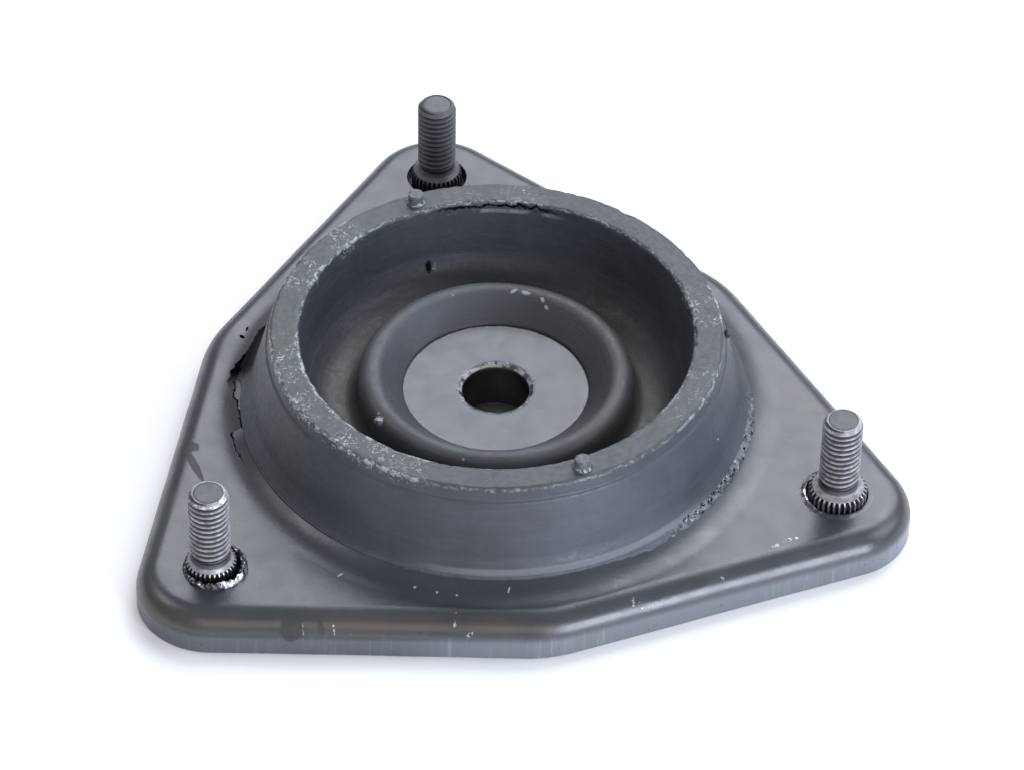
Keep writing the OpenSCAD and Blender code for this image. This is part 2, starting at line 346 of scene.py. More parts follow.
# Electrocoated low-carbon steel sheet: pressed in a die, cleaned and dipped, so a thin
# grey-black semi-gloss epoxy film lies over the press marks; handling left brown smears in
# the folds, in front partly a painted reflection, fine scratches and bright chips on the edge
def electrocoated_sheet():
    material, tree, shader, place = start_material("electrocoated_sheet")
    r, turn, z = split(tree, place)
    # Cloudy film, in patches about 30 mm across
    cloud = lumps(tree, place, 30, 4.0, 0.6, warp=0.6)
    film = ramp(tree, cloud, [(0.3, "2A2D32"), (0.5, "30343A"), (0.7, "353639")])
    # Brown preserving oil: over the fold left of the blunt front vertex, where the brown is
    # also a painted reflection, in patches on the right and along the edge behind the right stud
    over_fold = times(tree, remap(tree, z, -0.05, -0.6), remap(tree, z, -5.4, -4.2))
    oil = remap(tree, lumps(tree, place, 14, 5.0, 0.65), 0.35, 0.62, 0.3, 0.9)
    oil_and_brown_reflection = times(tree, oil, over_fold, remap(tree, sector(tree, place, 228, 26), 0, 1, 0.25, 1.0))
    colour = lay_over(tree, oil_and_brown_reflection, film, linear("403C38"))
    stain = times(tree, sector(tree, place, 2, 12), remap(tree, r, 56, 63), remap(tree, lumps(tree, place, 7, 4.0, 0.65), 0.5, 0.62))
    colour = lay_over(tree, times(tree, stain, 0.7), colour, linear("4A4238"))
    # Painted shade: a dark line low on the fold, left of the blunt front vertex, where it turns down to the skirt
    painted_fold_shade = times(tree, remap(tree, z, -3.6, -4.2), remap(tree, z, -5.0, -4.7), remap(tree, sector(tree, place, 226, 20), 0, 1, 0.25, 1.0))
    colour = lay_over(tree, times(tree, painted_fold_shade, 0.8), colour, linear("141313"))
    # Skirt painted lighter, most at front right, as a painted reflection of the floor; die drag marks on it: upright
    # streaks 0.8 mm wide
    skirt_reflection_and_streaks = times(tree, remap(tree, z, -3.2, -5.2), remap(tree, sector(tree, place, 300, 33), 0, 1, 0.4, 1.0))
    streak = remap(tree, lumps(tree, place, 0.8, 2.0, 0.6, stretch=(1, 1, 0.05)), 0.48, 0.72)
    patchy = remap(tree, lumps(tree, place, 12, 3.0, 0.6), 0.35, 0.65)
    colour = lay_over(tree, times(tree, skirt_reflection_and_streaks, 0.8), colour, linear("6E737B"))
    colour = lay_over(tree, times(tree, streak, skirt_reflection_and_streaks, patchy, 0.35), colour, linear("9AA0A8"))
    # Smears left by oily fingers: an arrow behind the left stud and a patch on the front fold
    smears = most(tree, [smudge(tree, place, (-61.7, -6.6, 0), (0.8, 6.0), 13, 0.3),
                         smudge(tree, place, (-61.9, -2.0, 0), (2.2, 1.6), -15, 0.5),
                         smudge(tree, place, (-63.4, -3.8, 0), (0.5, 2.6), -12, 0.4),
                         smudge(tree, place, (-48.8, -52.3, -2.5), (2.3, 3.0), 10, 0.5),
                         smudge(tree, place, (-43.2, -54.2, -2), (0.8, 1.8), 0, 0.5)])
    faint = most(tree, [smudge(tree, place, (41.8, -38.0, 0), (0.8, 2.2), 10, 0.6),
                        smudge(tree, place, (-64.5, -12.0, 0), (1.8, 5.0), 10, 0.6),
                        smudge(tree, place, (51.5, -11.0, 1), (0.7, 1.9), -10, 0.6),
                        smudge(tree, place, (56.2, -18.6, 0), (0.5, 0.45), 30, 0.5),
                        smudge(tree, place, (47.9, -39.6, 0), (0.35, 0.3), 0, 0.4),
                        smudge(tree, place, (36.5, -40.6, 0), (0.35, 0.3), 0, 0.4)])
    smears = most(tree, [smears, times(tree, faint, 0.55)])
    colour = lay_over(tree, times(tree, smears, 0.7), colour, linear("1D1C19"))
    # The film is torn round the rubber's left foot: the open gap is painted black as painted shadow, with a thin dark
    # crack below it
    wander = remap(tree, lumps(tree, place, 3.5, 3.0, 0.6), 0.2, 0.8, -0.7, 0.7)
    edge_r = sum_up(tree, "ADD", r, wander)
    past_gap = sum_up(tree, "SUBTRACT", edge_r, remap(tree, turn, 146, 165, 50.7, 53.1))
    painted_gap_shadow = times(tree, remap(tree, past_gap, 1.1, 0.8), remap(tree, past_gap, -1.5, -1.1), sector(tree, place, 152, 8))
    past_crack = sum_up(tree, "SUBTRACT", edge_r, remap(tree, turn, 160, 178, 52.9, 51.4))
    crack = times(tree, remap(tree, past_crack, 0.26, 0.12), remap(tree, past_crack, -0.26, -0.12), sector(tree, place, 175, 9))
    gap_shadow_cracks_nicks = times(tree, most(tree, [painted_gap_shadow, crack]), remap(tree, z, 3.2, 2.6))
    strip = times(tree, remap(tree, r, 50.4, 50.7), remap(tree, past_crack, -0.2, -0.5), sector(tree, place, 172, 6), 0.6)
    colour = lay_over(tree, strip, colour, linear("7E8288"))
    nicks = most(tree, [smudge(tree, place, (-47.2, 28.2, 0), (0.4, 0.8), 20, 0.4), smudge(tree, place, (-45.9, 30.4, 0), (0.25, 0.7), -20, 0.4)])
    gap_shadow_cracks_nicks = most(tree, [gap_shadow_cracks_nicks, nicks])
    # Pale rub marks in the bend in front and pin-head grit all over
    ticks = most(tree, [smudge(tree, place, (-6.6, -52.3, 0.8), (0.16, 0.7), -25, 0.3),
                        smudge(tree, place, (-37.8, -42.2, 0), (0.2, 0.7), -60, 0.4),
                        smudge(tree, place, (-24.2, -48.2, 0.4), (0.28, 0.24), 0, 0.4),
                        smudge(tree, place, (-20.2, -50.2, 0.4), (0.24, 0.28), 0, 0.4),
                        smudge(tree, place, (-16.6, -51.6, 0.4), (0.26, 0.22), 0, 0.4)])
    grit = add(tree, "ShaderNodeTexVoronoi", inputs={"Vector": place, "Scale": 1 / 8.5, "Randomness": 1.0})
    grit = times(tree, remap(tree, grit.outputs["Distance"], 0.040, 0.022), 0.6)
    colour = lay_over(tree, grit, colour, linear("8C8E90"))
    # Chips down to bright steel on the fold, 0.3 to 1 mm across, and thin upright scratches
    chips = most(tree, [smudge(tree, place, spot, size, lean_of, 0.9) for spot, size, lean_of in chip_places])
    chips = times(tree, chips, remap(tree, lumps(tree, place, 0.6, 3.0, 0.7), 0.46, 0.56))
    bare = most(tree, [times(tree, chips, 0.8), times(tree, ticks, 0.6)])
    colour = lay_over(tree, bare, colour, linear("B9BABA"))
    # Steel that the left stud's serrations cut and pushed up: crumbled dark and bright, and
    # bent over smooth in front, painted near-white there as a painted highlight; the right stud left a single burr on
    # its left
    crumb = lumps(tree, place, 0.8, 3.0, 0.7)
    crumbs = ramp(tree, crumb, [(0.46, "0C0C0D"), (0.53, "4B4D51"), (0.64, "C8C9CB")])
    raised = times(tree, remap(tree, from_stud(tree, place, 210), 7.6, 7.4), remap(tree, z, 0.05, 0.2))
    bent_steel_highlight = smudge(tree, place, tuple(polar(6.5, 303) + polar(stud_circle_r, 210)) + (0.5,), (2.3, 1.6), 15, 0.4)
    bent_steel_highlight = times(tree, bent_steel_highlight, raised)
    burr = smudge(tree, place, tuple(polar(6.3, 176) + polar(stud_circle_r, 330)) + (0.2,), (0.3, 1.7), 0, 0.3)
    colour = lay_over(tree, raised, colour, crumbs)
    colour = lay_over(tree, most(tree, [bent_steel_highlight, burr]), colour, linear("DFE0E2"))
    # Painted shadow in the torn gap, with the crack and two small nicks, laid on in black
    colour = lay_over(tree, gap_shadow_cracks_nicks, colour, linear("050505"))
    tree.links.new(colour, shader.inputs["Base Color"])
    gloss = remap(tree, lumps(tree, place, 6, 5.0, 0.6), 0.3, 0.75, 0.27, 0.38)
    gloss = sum_up(tree, "MAXIMUM", gloss, times(tree, most(tree, [smears, gap_shadow_cracks_nicks]), 0.6))
    tree.links.new(gloss, shader.inputs["Roughness"])
    bare_steel = most(tree, [chips, bent_steel_highlight, burr, times(tree, raised, remap(tree, crumb, 0.5, 0.6))])
    tree.links.new(times(tree, bare_steel, 0.8), shader.inputs["Metallic"])
    # Reflection is turned down in the black gap, crack and nicks, so the painted shadow stays black
    tree.links.new(remap(tree, gap_shadow_cracks_nicks, 0.0, 1.0, 0.5, 0.0), shader.inputs["Specular IOR Level"])
    shader.inputs["IOR"].default_value = 1.58
    # Fine orange peel of the film, 0.7 mm, over the sheet's soft press waves, 12 mm
    peel = lumps(tree, place, 0.7, 2.0, 0.5)
    wave = times(tree, lumps(tree, place, 12, 2.0, 0.5), 5.0)
    height = sum_up(tree, "SUBTRACT", sum_up(tree, "ADD", peel, wave), times(tree, most(tree, [chips, crack]), 2.0))
    bump = add(tree, "ShaderNodeBump", inputs={"Height": height, "Strength": 0.22, "Distance": 0.00012})
    tree.links.new(bump.outputs["Normal"], shader.inputs["Normal"])
    return material


# Natural rubber with carbon black, compression-moulded over the steel: dull, with a
# grey-green bloom of wax and dust on the rim, scuffs, and torn flash along its edges
def moulded_rubber():
    material, tree, shader, place = start_material("moulded_rubber")
    r, turn, z = split(tree, place)
    cloud = lumps(tree, place, 18, 4.0, 0.6, warp=0.4)
    colour = ramp(tree, cloud, [(0.3, "2E3136"), (0.5, "363A41"), (0.7, "3E434B")])
    # Painted shade deep inside the cup: darker and brownish, in patches
    painted_cup_shade = times(tree, remap(tree, r, rim_in_r - 0.5, rim_in_r - 4), remap(tree, z, 9.0, 3.5))
    cup_shade_patches = remap(tree, lumps(tree, place, 15, 3.0, 0.6), 0.4, 0.65)
    colour = lay_over(tree, times(tree, painted_cup_shade, remap(tree, cup_shade_patches, 0, 1, 0.5, 0.9)), colour, linear("1F1D1B"))
    # Bloom on the flat rim, thin on the side and on the hump
    on_rim = remap(tree, z, rim_h - 0.7, rim_h - 0.15)
    bloom = remap(tree, lumps(tree, place, 7, 4.0, 0.6), 0.3, 0.7, 0.5, 0.85)
    left_tone = remap(tree, sector(tree, place, 165, 53), 0, 1, 0.7, 1.0)
    colour = lay_over(tree, times(tree, bloom, on_rim, left_tone), colour, linear("3B403E"))
    # The cup's left wall is painted darker, as painted shade
    painted_left_wall_shade = times(tree, remap(tree, r, rim_in_r + 0.3, rim_in_r - 0.3), remap(tree, r, 25.5, 29), sector(tree, place, 170, 45))
    colour = lay_over(tree, times(tree, painted_left_wall_shade, 0.6), colour, linear("1E2024"))
    # The trough painted paler in patches as painted light against its shade, and the hump's right side painted a darker
    # brown as painted shade
    painted_trough_light = times(tree, remap(tree, r, trough_r + 5, trough_r + 1), remap(tree, r, trough_r - 6, trough_r - 3),
                 remap(tree, lumps(tree, place, 9, 3.0, 0.6), 0.3, 0.6, 0.5, 1.0))
    colour = lay_over(tree, times(tree, painted_trough_light, 0.55), colour, linear("575450"))
    painted_hump_shade = times(tree, remap(tree, r, trough_r, crest_r + 2), remap(tree, r, disc_r, disc_r + 2), sector(tree, place, 5, 50))
    colour = lay_over(tree, times(tree, painted_hump_shade, 0.55), colour, linear("2C2A27"))
    # Flow lines of the mould, running round the cup
    ringed = add(tree, "ShaderNodeCombineXYZ", inputs={"X": r, "Z": z}).outputs[0]
    drift = add(tree, "ShaderNodeVectorMath", {"operation": "SCALE"}, {0: place, "Scale": 0.05}).outputs[0]
    ringed = add(tree, "ShaderNodeVectorMath", {"operation": "ADD"}, {0: ringed, 1: drift}).outputs[0]
    flow = remap(tree, lumps(tree, ringed, 0.9, 3.0, 0.6), 0.45, 0.75, 0.0, 0.22)
    colour = lay_over(tree, flow, colour, linear("4A4E55"))
    # Scuffs: chalky scratches 0.3 mm wide and up to 6 mm long, where the rim was struck
    struck = most(tree, [sector(tree, place, 192, 12), times(tree, sector(tree, place, 226, 10), 0.8),
                         times(tree, sector(tree, place, 147, 4), 0.8), times(tree, sector(tree, place, 128, 4), 0.8),
                         times(tree, sector(tree, place, 1, 5), 0.9), times(tree, sector(tree, place, 325, 8), 0.4),
                         times(tree, sector(tree, place, 80, 8), 0.4)])
    scratch = remap(tree, lumps(tree, place, 0.9, 4.0, 0.75, warp=1.4), 0.54, 0.64)
    patch = remap(tree, lumps(tree, place, 4, 3.0, 0.6), 0.42, 0.56)
    scuff = times(tree, scratch, patch, struck, remap(tree, z, rim_h - 2.8, rim_h - 0.8))
    # Thin pale line along the rim's two moulded edges, broad and smeared where the rim was struck
    wander = remap(tree, lumps(tree, place, 2.2, 3.0, 0.6), 0.2, 0.8, -0.3, 0.3)
    wide = remap(tree, struck, 0, 1, 0.04, 0.45)
    past_inner = sum_up(tree, "SUBTRACT", sum_up(tree, "ADD", r, wander), rim_in_r + 0.3)
    past_outer = sum_up(tree, "SUBTRACT", rim_out_r - 0.25, sum_up(tree, "ADD", r, wander))
    inner_edge = times(tree, remap(tree, past_inner, -0.3, -0.1), remap(tree, sum_up(tree, "SUBTRACT", past_inner, wide), 0.12, -0.04))
    outer_edge = times(tree, remap(tree, past_outer, -0.3, -0.1), remap(tree, sum_up(tree, "SUBTRACT", past_outer, wide), 0.12, -0.04))
    inner_edge = times(tree, inner_edge, remap(tree, struck, 0, 1, 0.6, 1.0))
    outer_edge = times(tree, outer_edge, remap(tree, struck, 0, 1, 0.4, 1.0))
    broken = remap(tree, lumps(tree, place, 1.3, 4.0, 0.75), 0.42, 0.62)
    edges = times(tree, most(tree, [inner_edge, outer_edge]), remap(tree, z, rim_h - 1.2, rim_h - 0.6), broken)
    # Torn rear lip: a thin black line under the inner edge, painted shadow of the tear, and a soft pale streak below
    # it, a painted highlight
    rear = sector(tree, place, 80, 11)
    on_wall = remap(tree, r, rim_in_r + 0.6, rim_in_r + 0.2)
    tear_shadow_z = sum_up(tree, "ADD", z, remap(tree, lumps(tree, place, 3.0, 4.0, 0.7), 0.2, 0.8, -0.8, 0.8))
    painted_tear_shadow = times(tree, remap(tree, tear_shadow_z, rim_h - 1.5, rim_h - 1.2), remap(tree, tear_shadow_z, rim_h - 0.6, rim_h - 0.9), rear, on_wall)
    lip = times(tree, remap(tree, z, rim_h - 3.0, rim_h - 2.4), remap(tree, z, rim_h - 1.6, rim_h - 2.0), on_wall, rear,
                remap(tree, lumps(tree, place, 5, 3.0, 0.6), 0.4, 0.6), 0.35)
    # Flash along the right foot: a grey torn skin with black pits and a few white flecks
    low = times(tree, remap(tree, z, 2.9, 2.5), remap(tree, r, 49.3, 49.7))
    side = most(tree, [sector(tree, place, 325, 14), times(tree, sector(tree, place, 342, 6), 0.8)])
    torn = times(tree, low, remap(tree, side, 0, 1, 0.15, 0.75), remap(tree, lumps(tree, place, 1.4, 3.0, 0.6), 0.36, 0.5))
    pit = times(tree, low, side, remap(tree, lumps(tree, place, 1.1, 3.0, 0.7), 0.45, 0.40))
    fleck = times(tree, low, side, remap(tree, lumps(tree, place, 0.7, 3.0, 0.7), 0.60, 0.66))
    # Pale specks on the hump; a pin mark on the rear wall and one on the right wall, painted black as painted shade,
    # the rear one with a pale painted highlight on its edge; and grit on the cone
    specks = most(tree, [smudge(tree, place, (7.6, 22.4, 9.8), (0.8, 0.35), 20, 0.7), smudge(tree, place, (9.9, 21.5, 9.8), (0.9, 0.4), -30, 0.7),
                         smudge(tree, place, (12.9, 19.2, 9.4), (0.4, 0.7), 10, 0.7), smudge(tree, place, (13.4, 17.6, 8.8), (0.3, 0.5), 30, 0.7),
                         smudge(tree, place, (-25.1, -9.9, 8.7), (0.9, 1.3), 20, 0.5), smudge(tree, place, (-24.6, -8.4, 8.9), (0.6, 0.7), 0, 0.5)])
    pin_holes_painted_dark = most(tree, [smudge(tree, place, (-7.6, 36.5, 6.2), (0.6, 1.3), 0, 0.5, soft=1.0), smudge(tree, place, (37.4, 5.9, 6.4), (0.5, 0.5), 0, 0.3)])
    pin_hole_highlight = smudge(tree, place, (-6.2, 36.6, 5.8), (0.4, 1.0), 0, 0.6)
    grit = add(tree, "ShaderNodeTexVoronoi", inputs={"Vector": place, "Scale": 1 / 9.0, "Randomness": 1.0})
    grit = times(tree, remap(tree, grit.outputs["Distance"], 0.04, 0.022), 0.5)
    on_nub = times(tree, remap(tree, z, rim_h + 0.2, rim_h + 0.7), remap(tree, lumps(tree, place, 1.2, 3.0, 0.6), 0.35, 0.6, 0.4, 1.0))
    colour = lay_over(tree, times(tree, on_nub, 0.6), colour, linear("666B6E"))
    # Painted highlight: a soft pale line along the rubber's front foot
    painted_foot_highlight = times(tree, remap(tree, z, 2.3, 2.7), remap(tree, z, 3.6, 3.1), remap(tree, r, 48.6, 48.9), sector(tree, place, 278, 20))
    colour = lay_over(tree, times(tree, painted_foot_highlight, 0.45), colour, linear("7C8086"))
    nub_edge = times(tree, remap(tree, z, rim_h + 0.1, rim_h + 0.2), remap(tree, z, rim_h + 0.8, rim_h + 0.5),
                     remap(tree, lumps(tree, place, 1.0, 2.0, 0.6), 0.44, 0.54))
    colour = lay_over(tree, torn, colour, linear("6C7074"))
    # Pale marks laid on together; the rear lip's streak and the pin mark's edge among them are painted highlights
    pale_marks_and_highlights = most(tree, [scuff, times(tree, edges, 0.75), lip, fleck, times(tree, specks, 0.45), times(tree, pin_hole_highlight, 0.1),
                        times(tree, nub_edge, 0.6), grit])
    colour = lay_over(tree, pale_marks_and_highlights, colour, linear("B4B8B8"))
    # The foot stands off the plate on the left, where the film is torn; the gap under it is painted black as painted
    # shadow
    foot_shadow_z = sum_up(tree, "ADD", z, remap(tree, lumps(tree, place, 3.0, 3.0, 0.6), 0.2, 0.8, -0.7, 0.7))
    peeled_foot_shadow = times(tree, remap(tree, foot_shadow_z, 5.4, 4.6), remap(tree, r, 47.4, 47.8), sector(tree, place, 154, 6.5))
    # Black for the flash pits and for the painted shade of the tear, pin marks and lifted foot, with reflection turned
    # down there
    pits_and_painted_shade = most(tree, [painted_tear_shadow, pit, pin_holes_painted_dark, peeled_foot_shadow])
    colour = lay_over(tree, pits_and_painted_shade, colour, linear("050506"))
    tree.links.new(remap(tree, pits_and_painted_shade, 0.0, 1.0, 0.5, 0.05), shader.inputs["Specular IOR Level"])
    tree.links.new(colour, shader.inputs["Base Color"])
    grain = remap(tree, lumps(tree, place, 1.2, 5.0, 0.6), 0.3, 0.7, 0.46, 0.60)
    tree.links.new(grain, shader.inputs["Roughness"])
    shader.inputs["IOR"].default_value = 1.52
    skin_height = sum_up(tree, "ADD", lumps(tree, place, 0.5, 3.0, 0.6), times(tree, flow, 2.0))
    skin_height = sum_up(tree, "SUBTRACT", skin_height, times(tree, most(tree, [pin_holes_painted_dark, pit]), 3.0))
    bump = add(tree, "ShaderNodeBump", inputs={"Height": skin_height, "Strength": 0.3, "Distance": 0.00012})
    tree.links.new(bump.outputs["Normal"], shader.inputs["Normal"])
    return material


# Rolled medium-carbon steel stud with a manganese phosphate finish: matt and dark, with painted
# shade in the thread's roots and between the serrations; burnished bright on the crests, the bevelled tip and the
# serrations, with painted glints and a painted sheen on the collar's top
def phosphated_stud():
    material, tree, shader, place = start_material("phosphated_stud")
    crest = add(tree, "ShaderNodeAttribute", {"attribute_name": "crest"}).outputs["Fac"]
    patch = remap(tree, lumps(tree, place, 1.6, 3.0, 0.6), 0.3, 0.65, 0.35, 1.0)
    rub = times(tree, remap(tree, crest, 0.42, 0.84), patch)
    cloud = lumps(tree, place, 3, 3.0, 0.6)
    dark = ramp(tree, cloud, [(0.3, "3E3F44"), (0.6, "484A4E"), (0.8, "504E4C")])
    worn = ramp(tree, cloud, [(0.3, "9C9CA2"), (0.7, "AEACAC")])
    colour = lay_over(tree, rub, dark, worn)
    # Steel struck bare, painted near-white as painted glints: full on the serrations' tips, in specks on the bevel
    glint = times(tree, remap(tree, crest, 0.97, 1.0), remap(tree, lumps(tree, place, 1.1, 3.0, 0.7), 0.50, 0.58))
    colour = lay_over(tree, glint, colour, linear("EEEEEC"))
    # Painted shade: the thread's roots and the gaps between the serrations go near-black
    root = remap(tree, crest, 0.3, 0.04)
    colour = lay_over(tree, root, colour, linear("121214"))
    tree.links.new(colour, shader.inputs["Base Color"])
    tree.links.new(most(tree, [times(tree, rub, 0.4), glint]), shader.inputs["Metallic"])
    tree.links.new(remap(tree, rub, 0.0, 1.0, 0.52, 0.42), shader.inputs["Roughness"])
    grain = lumps(tree, place, 0.35, 2.0, 0.5)
    bump = add(tree, "ShaderNodeBump", inputs={"Height": grain, "Strength": 0.3, "Distance": 0.00008})
    tree.links.new(bump.outputs["Normal"], shader.inputs["Normal"])
    return material


# The core is turned steel under the same electrocoat as the plate, smoother because it
# was machined first; the bore's edge is rubbed to a pale broken line
def electrocoated_core():
    material, tree, shader, place = start_material("electrocoated_core")
    r, turn, z = split(tree, place)
    cloud = lumps(tree, place, 14, 4.0, 0.6, warp=0.5)
    colour = ramp(tree, cloud, [(0.3, "30343A"), (0.55, "363A41"), (0.8, "3A3834")])
    rust = times(tree, remap(tree, r, disc_r - 1.2, disc_r - 0.2), remap(tree, lumps(tree, place, 4, 3.0, 0.6), 0.38, 0.55))
    colour = lay_over(tree, times(tree, rust, 0.75), colour, linear("5E4E40"))
    wander = remap(tree, lumps(tree, place, 0.8, 4.0, 0.7), 0.2, 0.8, -0.5, 0.5)
    # Painted shade: a dark ring round the disc's edge, in the crevice where the rubber meets it
    edge_crevice_shade = remap(tree, sum_up(tree, "ADD", r, wander), disc_r - 0.45, disc_r - 0.2)
    colour = lay_over(tree, edge_crevice_shade, colour, linear("1C1B1B"))
    mouth = remap(tree, sum_up(tree, "ADD", r, wander), bore_r + 0.95, bore_r + 0.7)
    broken = remap(tree, lumps(tree, place, 1.6, 3.0, 0.7), 0.46, 0.56)
    mouth = times(tree, mouth, broken, remap(tree, z, disc_h - 1.0, disc_h - 0.4))
    colour = lay_over(tree, times(tree, mouth, 0.8), colour, linear("A5A29B"))
    # Painted shade inside the bore
    inside = times(tree, remap(tree, r, bore_r + 0.5, bore_r + 0.1), remap(tree, z, disc_h - 0.7, disc_h - 1.6))
    colour = lay_over(tree, inside, colour, linear("0E0B09"))
    tree.links.new(colour, shader.inputs["Base Color"])
    gloss = remap(tree, lumps(tree, place, 5, 4.0, 0.6), 0.3, 0.7, 0.30, 0.40)
    tree.links.new(gloss, shader.inputs["Roughness"])
    shader.inputs["IOR"].default_value = 1.6
    peel = lumps(tree, place, 0.6, 2.0, 0.5)
    bump = add(tree, "ShaderNodeBump", inputs={"Height": peel, "Strength": 0.2, "Distance": 0.00008})
    tree.links.new(bump.outputs["Normal"], shader.inputs["Normal"])
    return material


# Matt white photographer's board under the part
def white_board():
    material, tree, shader, place = start_material("white_board")
    fibre = lumps(tree, place, 25, 3.0, 0.5)
    tree.links.new(ramp(tree, fibre, [(0.3, "F1F1F1"), (0.7, "F5F5F5")]), shader.inputs["Base Color"])
    shader.inputs["Roughness"].default_value = 0.75
    return material


# ---------------------------------------------------------------- pressed plate

def outline(inset):
    """Points and outward normals round the plate's outline, moved in by the inset."""
    points = []
    normals = []
    corner = polar(stud_circle_r, 90)
    side = polar(side_reach - side_r, 150)
    run = corner - side
    reach = math.degrees(math.atan2(run[1], run[0]))
    edge_turn = reach + math.degrees(math.acos((side_r - corner_r) / np.linalg.norm(run)))
    corner_steps, edge_steps, side_steps = 56, 46, 12
    for third in range(3):
        turn = third * 120
        a = [(corner, corner_r, 180 - edge_turn + (2 * edge_turn - 180) * i / corner_steps)
             for i in range(corner_steps + 1)]
        b = [(side, side_r, edge_turn + (300 - 2 * edge_turn) * i / side_steps)
             for i in range(side_steps + 1)]
        arc_a = [c + (radius - inset) * polar(1, n) for c, radius, n in a]
        arc_b = [c + (radius - inset) * polar(1, n) for c, radius, n in b]
        next_corner = polar(stud_circle_r, 210) + (corner_r - inset) * polar(1, 300 - edge_turn)
        edge_in = [arc_a[-1] + (arc_b[0] - arc_a[-1]) * i / edge_steps for i in range(1, edge_steps)]
        edge_out = [arc_b[-1] + (next_corner - arc_b[-1]) * i / edge_steps for i in range(1, edge_steps)]
        third_points = arc_a + edge_in + arc_b + edge_out
        third_turns = [n for c, radius, n in a] + [edge_turn] * len(edge_in)
        third_turns += [n for c, radius, n in b] + [300 - edge_turn] * len(edge_out)
        spun = math.radians(turn)
        turn_matrix = np.array([[math.cos(spun), -math.sin(spun)], [math.sin(spun), math.cos(spun)]])
        points += [turn_matrix @ p for p in third_points]
        normals += [turn_matrix @ polar(1, n) for n in third_turns]
    return np.array(points), np.array(normals)


def press_plate():
    """The sheet: neck, hollow bend, flat top, fold and skirt, and its inside back up again."""
    edge, normal = outline(fold_r)
    toward = edge / np.linalg.norm(edge, axis=1)[:, None]
    centre = np.array([neck_foot_r, neck_bend_r])
    rows = []

    def ring_row(r, z):
        rows.append(np.column_stack([toward * r, np.full(len(edge), z)]))

    def flat_row(share, z):
        rows.append(np.column_stack([toward * neck_foot_r * (1 - share) + edge * share, np.full(len(edge), z)]))

    def edge_row(out, z):
        rows.append(np.column_stack([edge + normal * out, np.full(len(edge), z)]))

    wall_foot = centre + polar(neck_bend_r, 180 + lean)
    wall_top = wall_foot + polar((neck_h - wall_foot[1]) / math.cos(math.radians(lean)), 90 + lean)
    inner_foot = centre + polar(neck_bend_r + sheet_t, 180 + lean)
    inner_top = wall_top - polar(sheet_t, lean)
    for r, z in fill_in([inner_top, wall_top, wall_foot], 1.2)[:-1]:
        ring_row(r, z)
    for r, z in bend(centre, neck_bend_r, 180 + lean, 236, 8)[:-1] + bend(centre, neck_bend_r, 236, 270, 20)[:-1]:
        ring_row(r, z)
    for i in range(26):
        flat_row(i / 26, 0)
    for p in bend([0, -fold_r], fold_r, 90, 0, 18):
        edge_row(p[0], p[1])
    skirt_round = 0.4
    for z in np.linspace(-fold_r, plate_low + skirt_round, 8)[1:-1]:
        edge_row(fold_r, z)
    for p in bend([fold_r - skirt_round, plate_low + skirt_round], skirt_round, 0, -90, 3):
        edge_row(p[0], p[1])
    inside = fold_r - sheet_t
    for p in bend([inside + skirt_round, plate_low + skirt_round], skirt_round, 270, 180, 3):
        edge_row(p[0], p[1])
    for z in np.linspace(plate_low + skirt_round, -fold_r, 5)[1:-1]:
        edge_row(inside, z)
    for p in bend([0, -fold_r], inside, 0, 90, 8):
        edge_row(p[0], p[1])
    for i in range(11, 0, -1):
        flat_row(i / 12, -sheet_t)
    for r, z in bend(centre, neck_bend_r + sheet_t, 270, 180 + lean, 16):
        ring_row(r, z)
    for r, z in fill_in([inner_foot, inner_top], 1.5)[1:-1]:
        ring_row(r, z)
    rings = np.array(rows)
    # Press waves of a few hundredths in the flat and the fold, always inwards
    r, turn = spread(rings)
    wave = 0.05 * (rough(rings * [1, 1, 0], 22, 3) - 1)
    rings[..., 2] += wave * smooth_step(52, 58, r) * smooth_step(plate_low, plate_low + 1, rings[..., 2])
    dent = 0.09 * (1 + rough(rings * [1, 1, 0.3], 9, 5)) * smooth_step(-0.5, -3.5, rings[..., 2])
    rings[..., :2] *= (1 - dent / np.maximum(r, 1))[..., None]
    piece = skin("pressed_plate", rings, looped=True)
    return piece


def punched_hole(name, turn, section, offset=(0, 0)):
    """The punch's shape: straight through the sheet, with a rolled-over or torn mouth."""
    centre = polar(stud_circle_r, turn) + offset
    rings = spin([(section[0][0], -sheet_t - 1.0), (section[0][0], -0.9)] + section, 120)
    rings[..., :2] *= 1 + 0.006 * rough(rings, 2.0, turn)[..., None]
    rings[..., :2] += centre
    return skin(name, rings, looped=False)


def raised_lip(name, turn, section, low_share, high_turn, reach, offset=(0, 0)):
    """Metal that the stud's serrations pushed up round the hole, highest towards high_turn."""
    centre = polar(stud_circle_r, turn)
    columns = 180
    around = np.arange(columns) * 360 / columns
    height = low_share + (1 - low_share) * (0.5 + 0.5 * np.cos(np.radians(around - high_turn))) ** reach
    rings = spin(section, columns)
    lumpy = height * (0.85 + 0.9 * rough(rings, 1.0, turn + 2))
    rings[..., 2] = np.where(rings[..., 2] > -0.3, rings[..., 2] * lumpy, rings[..., 2])
    rings[..., :2] *= 1 + (0.05 * rough(rings, 1.0, turn + 5) * (rings[..., 2] > 0.1))[..., None]
    rings[..., :2] += centre + np.array(offset)
    return skin(name, rings, looped=True)


# ---------------------------------------------------------------- rubber tower

